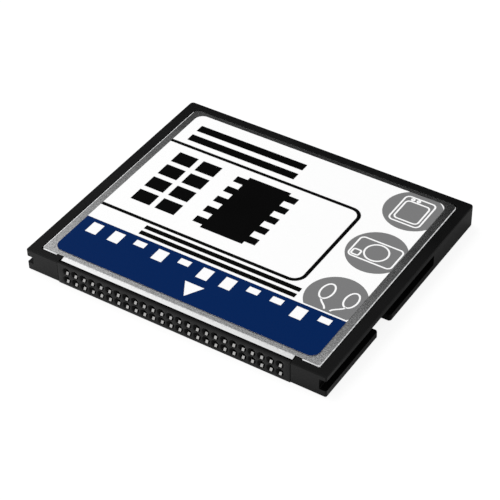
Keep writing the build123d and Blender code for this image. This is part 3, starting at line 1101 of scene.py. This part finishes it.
@dataclass
class Label(Assembly):
    """The printed film on the top cover.

    Args:
        width_mm: The film's width.
        length_mm: Its length.
        corner_mm: The radius of its corners.
        disc_mm: The radius of a grey disc.
        disc_x_mm: Where the discs' middles are across the card.
        disc_y_mm: Where they are along it.
        disc_end_mm: Where the front disc is cut off by the band.
        corner_gap_mm: How far the rear disc keeps off the film's rounded corner.
        ink_step_mm: How far the grey ink stays below the white.
        line_mm: The width of the white lines.
    """

    width_mm: float = 37.4
    length_mm: float = 32.3
    corner_mm: float = 1.2
    disc_mm: float = 3.9
    disc_x_mm: float = 15.58
    disc_y_mm: tuple[float, float, float] = (12.93, 3.6, -6.2)
    disc_end_mm: float = -8.8
    corner_gap_mm: float = 0.07
    ink_step_mm: float = 0.006
    line_mm: float = 0.23

    def build(self) -> None:
        """Dresses the film and the plain prints, and makes the discs with their signs."""
        for node, slot in PRINTS.items():
            self.keep(node, slot)
        self._discs()
        self._signs()

    def _discs(self) -> None:
        """Makes the three grey discs, cut off by the film's edge and the band's line."""
        low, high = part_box("disc_print")
        window = rounded(0.0, 0.0, self.width_mm, self.length_mm, self.corner_mm)
        end, far, nudge = self.disc_end_mm, self.length_mm, self.corner_gap_mm
        band = [(-far, end), (far, end), (far, far), (-far, far)]
        bm = bmesh.new()
        for y in self.disc_y_mm:
            outline = clipped(clipped(circle(self.disc_x_mm, y, self.disc_mm), window), band)
            if y == max(self.disc_y_mm):
                outline = clipped(outline, circle(self.disc_x_mm - nudge, y - nudge, self.disc_mm))
            base, top = (
                [bm.verts.new(Vector((px * MM, py * MM, z))) for px, py in outline]
                for z in (low.z, high.z - self.ink_step_mm * MM)
            )
            bm.faces.new(top)
            bm.faces.new(list(reversed(base)))
            bridge(bm, base, top)
        self.seat(linked("grey_discs", bm), "grey_ink", "disc_print")

    def _sign_lines(self) -> list[tuple[list[Point], bool]]:
        """Gives the centre lines of the signs: a handheld player, a camera and a pair of earphones.

        Returns:
            Each line's points, and whether it is closed.
        """
        player = [
            rounded(15.525, 12.785, 4.22, 5.18, 0.62),
            rounded(15.53, 12.625, 3.32, 3.8, 0.55),
            circle(14.47, 14.95, 0.18, steps=20),
            circle(15.27, 14.95, 0.18, steps=20),
        ]
        camera = [
            rounded(15.51, 3.53, 5.96, 3.84, 0.6),
            circle(15.62, 3.53, 1.54),
            rounded(13.37, 2.45, 1.05, 1.0, 0.25),
        ]
        buds = [circle(14.07, -5.57, 0.81, 1.4, 40), circle(17.37, -5.57, 0.81, 1.4, 40)]
        cords = [cord((14.07, -6.97), 15.27, 1.5), cord((17.37, -6.97), 16.07, 1.5)]
        return [(line, True) for line in player + camera + buds] + [(line, False) for line in cords]

    def _signs(self) -> None:
        """Makes the white line signs that lie in the discs."""
        low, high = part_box("disc_print")
        bm = bmesh.new()
        for points, closed in self._sign_lines():
            self._ribbon(bm, points, closed, low.z, high.z)
        self.seat(linked("disc_signs", bm), "label_white")

    def _ribbon(self, bm: Mesh, points: list[Point], closed: bool, low: float, high: float) -> None:
        """Adds a flat line of ink along some points.

        Args:
            bm: The mesh.
            points: The line's centre points, in millimetres.
            closed: Whether the line comes back to its start.
            low: The height of its underside, in metres.
            high: The height of its top, in metres.
        """
        count = len(points)
        sections = []
        for index, point in enumerate(points):
            before = points[index - 1] if closed or index else point
            after = points[(index + 1) % count] if closed or index + 1 < count else point
            along = Vector((after[0] - before[0], after[1] - before[1])).normalized()
            side = Vector((along.y, -along.x)) * self.line_mm / 2
            left = (Vector(point) - side) * MM
            right = (Vector(point) + side) * MM
            places = ((*left, low), (*right, low), (*right, high), (*left, high))
            sections.append([bm.verts.new(place) for place in places])
        pairs = list(zip(sections, sections[1:]))
        if closed:
            pairs.append((sections[-1], sections[0]))
        else:
            bm.faces.new(list(reversed(sections[0])))
            bm.faces.new(sections[-1])
        for one, two in pairs:
            bridge(bm, one, two)


# What lies inside


@dataclass
class Electronics(Assembly):
    """The board, its chips and small parts, and the films over them."""

    def build(self) -> None:
        """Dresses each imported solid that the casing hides."""
        slots = {row["node"]: row["material_slot"] for row in frame["record"]["subparts"]}
        for node, piece in frame["nodes"].items():
            if not piece.hide_render and node not in PRINTS:
                self.keep(node, slots[node])


# The studio


@dataclass(frozen=True)
class Patch:
    """A soft round part of the surroundings that metal mirrors.

    Args:
        azimuth: Where its middle is, in degrees from the back towards the left.
        elevation: How high its middle is, in degrees.
        edge: Its outer radius, in degrees.
        core: The radius inside which it is full, in degrees.
        gain: How much brighter it is than the rest, or darker if it is below 0.
    """

    azimuth: float
    elevation: float
    edge: float
    core: float
    gain: float

    def mark(self, bench: NodeBench, place: Socket) -> Socket:
        """Marks the patch in the surroundings.

        Args:
            bench: Where the nodes are made.
            place: The direction looked at.

        Returns:
            A socket that gives 1 in the middle and 0 outside.
        """
        around, up = math.radians(self.azimuth), math.radians(self.elevation)
        toward = Vector((-math.sin(around) * math.cos(up), math.cos(around) * math.cos(up), math.sin(up)))
        facing = bench.add("ShaderNodeVectorMath", operation="DOT_PRODUCT")
        bench.feed(facing.inputs[0], place)
        bench.feed(facing.inputs[1], toward)
        edge, core = (math.cos(math.radians(angle)) for angle in (self.edge, self.core))
        return bench.spread(facing.outputs["Value"], 0.0, 1.0, edge, core, ease=True)


@dataclass
class Studio:
    """The floor, the light and the camera.

    Args:
        azimuth: Where the camera stands round the card, in degrees from the front.
        elevation: How high it looks down from, in degrees.
        roll: How far it is turned about its own line, in degrees.
        distance_mm: How far it is from the point it looks at.
        target_mm: The point it looks at.
        lens_mm: Its lens, for a 36 mm sensor.
        fill: The brightness of the surroundings for plain surfaces.
        patches: The dark flag behind the card, the patch above it and the strip at its left.
        floor_half: Half the floor's width, in metres.
        floor_gap: How far the card stands off it, in metres.
        floor_paint: How much light the floor gives back to the card, and to the camera.
        floor_glow: How much it glows in what the card mirrors, and to the camera.
        painted_shadow_mm: Where the painted shadow on the floor starts to the right, and where it is full. It
            darkens what the card mirrors and the light that the floor gives back to the card.
        dark: How bright the floor is under that painted shadow.
        lean: How much less it darkens towards the back, from the card's front edge on.
        front_mm: How far that edge lies in front of the card's middle.
    """

    azimuth: float = 33.31971768
    elevation: float = 40.42001395
    roll: float = -1.11474623
    distance_mm: float = 214.66185789
    target_mm: tuple[float, float, float] = (1.08, -2.36041625, 1.57)
    lens_mm: float = 125.10593443
    fill: float = 0.58
    patches: tuple[Patch, ...] = (
        Patch(19.46, 20.23, 32.2, 19.4, -0.982),
        Patch(87.16, 53.65, 21.0, 1.5, 0.64),
        Patch(52.0, 3.0, 18.0, 7.0, 1.0),
    )
    floor_half: float = 3.0
    floor_gap: float = 0.00002
    floor_paint: Point = (0.88, 0.18)
    floor_glow: Point = (0.25, 0.87)
    # The painted shadow on the floor to the right of the card, and how bright the floor is under it.
    painted_shadow_mm: Point = (12.0, 34.0)
    dark: float = 0.3
    lean: float = 0.9
    front_mm: float = 18.0

    def build(self) -> None:
        """Sets up the whole studio."""
        self._camera()
        self._floor()
        self._world()
        self._lamp("overhead_softbox", place=(-0.55, 0.1, 0.95), size=0.6, power=5.2)
        self._lamp("front_softbox", place=(-0.35, -1.05, 0.45), size=0.6, power=3.4)
        bpy.context.scene.view_settings.view_transform = "Standard"

    def _camera(self) -> None:
        """Makes the camera from its angles and distance."""
        around, up, turn = (math.radians(angle) for angle in (self.azimuth, self.elevation, self.roll))
        back = Vector((math.sin(around) * math.cos(up), -math.cos(around) * math.cos(up), math.sin(up)))
        right = Vector((0, 0, 1)).cross(back).normalized()
        above = back.cross(right)
        turned_right = right * math.cos(turn) + above * math.sin(turn)
        turned_up = above * math.cos(turn) - right * math.sin(turn)
        data = bpy.data.cameras.new("camera")
        data.lens = self.lens_mm
        data.sensor_width = 36.0
        data.clip_start = 0.01
        data.clip_end = 20.0
        camera = bpy.data.objects.new("camera", data)
        matrix = Matrix((turned_right, turned_up, back)).transposed().to_4x4()
        matrix.translation = (Vector(self.target_mm) + back * self.distance_mm) * MM
        camera.matrix_world = matrix
        bpy.context.scene.collection.objects.link(camera)
        bpy.context.scene.camera = camera

    def _floor(self) -> None:
        """Makes the pale floor, which looks white and keeps the card's shadow."""
        bm = bmesh.new()
        bmesh.ops.create_grid(bm, x_segments=4, y_segments=4, size=self.floor_half)
        bmesh.ops.translate(bm, verts=bm.verts, vec=(0, 0, -self.floor_gap))
        floor = linked("floor", bm)
        material = bpy.data.materials.new("pale_floor")
        material.use_nodes = True
        bench = NodeBench(material.node_tree)
        straight, mirrored = bench.rays()
        place = bench.add("ShaderNodeTexCoord").outputs["Object"]
        # Painted shadow: for every ray but the camera's, the floor darkens towards the right and the back.
        # This darkens what the card mirrors and the light the floor gives back to the card.
        behind = bench.math("ADD", bench.part(place, "Y"), self.front_mm * MM)
        slant = bench.math("MULTIPLY_ADD", behind, self.lean, bench.part(place, "X"))
        start, end = self.painted_shadow_mm
        far = bench.spread(slant, 1.0, self.dark, start * MM, end * MM, ease=True)
        paint, own_paint = self.floor_paint
        glow, own_glow = self.floor_glow
        glow_under_painted_shadow = bench.math("MULTIPLY", bench.math("MULTIPLY", mirrored, glow), far)
        floor_with_painted_shadow = self._paint(bench, bench.math("MULTIPLY", far, paint), glow_under_painted_shadow)
        own = bench.math("MULTIPLY", straight, own_paint)
        seen = self._paint(bench, own, bench.math("MULTIPLY", straight, own_glow))
        self._choose(bench, "ShaderNodeOutputMaterial", straight, floor_with_painted_shadow, seen)
        floor.data.materials.append(material)

    def _paint(self, bench: NodeBench, share: Socket, glow: Socket) -> Socket:
        """Adds pale paint that also glows.

        Args:
            bench: Where the nodes are made.
            share: The socket that gives how much of the light on it the paint gives back.
            glow: The socket that gives the glow's strength.

        Returns:
            The shader's socket.
        """
        both = bench.add("ShaderNodeAddShader")
        bench.feed(both.inputs[0], bench.add("ShaderNodeBsdfDiffuse", Color=share).outputs[0])
        bench.feed(both.inputs[1], bench.add("ShaderNodeEmission", Strength=glow).outputs[0])
        return both.outputs[0]

    def _choose(self, bench: NodeBench, output: str, *sockets: Socket) -> None:
        """Sends one of two shaders to a tree's output.

        Args:
            bench: Where the nodes are made.
            output: The kind of the output node.
            sockets: A factor, the shader used where it is 0, and the one used where it is 1.
        """
        choice = bench.add("ShaderNodeMixShader")
        for index, socket in enumerate(sockets):
            bench.feed(choice.inputs[index], socket)
        bench.add(output, Surface=choice.outputs[0])

    def _world(self) -> None:
        """Makes the white surroundings, with patches that shape what the metal mirrors.

        The camera sees none of the patches, and plain surfaces get an even light.
        """
        world = bpy.data.worlds.new("studio")
        bpy.context.scene.world = world
        world.use_nodes = True
        bench = NodeBench(world.node_tree)
        white = (1.0, 1.0, 1.0, 1.0)
        place = bench.add("ShaderNodeTexCoord").outputs["Generated"]
        lit = 1.0
        for patch in self.patches:
            lit = bench.math("MULTIPLY_ADD", patch.mark(bench, place), patch.gain, lit)
        straight, mirrored = bench.rays()
        lit = bench.math("MAXIMUM", lit, straight)
        backdrop = bench.add("ShaderNodeBackground", Color=white, Strength=lit).outputs[0]
        fill = bench.add("ShaderNodeBackground", Color=white, Strength=self.fill).outputs[0]
        looked_at = bench.math("MAXIMUM", straight, mirrored)
        self._choose(bench, "ShaderNodeOutputWorld", looked_at, fill, backdrop)

    def _lamp(self, name: str, place: Sequence[float], size: float, power: float) -> None:
        """Adds a square soft lamp that looks at the card.

        Args:
            name: The lamp's name.
            place: Where it stands, in metres.
            size: The length of its side, in metres.
            power: Its power, in watts.
        """
        data = bpy.data.lights.new(name, "AREA")
        data.shape = "SQUARE"
        data.size = size
        data.energy = power
        lamp = bpy.data.objects.new(name, data)
        lamp.visible_glossy = False
        lamp.location = place
        lamp.rotation_euler = Vector(place).to_track_quat("Z", "Y").to_euler()
        bpy.context.scene.collection.objects.link(lamp)


def main() -> None:
    """Builds the studio and the card."""
    logging.basicConfig(level=logging.INFO, format="%(name)s %(message)s")
    for part in (Studio(), Casing(), Connector(), Label(), Electronics()):
        part.build()


if __name__ == "__main__":
    main()
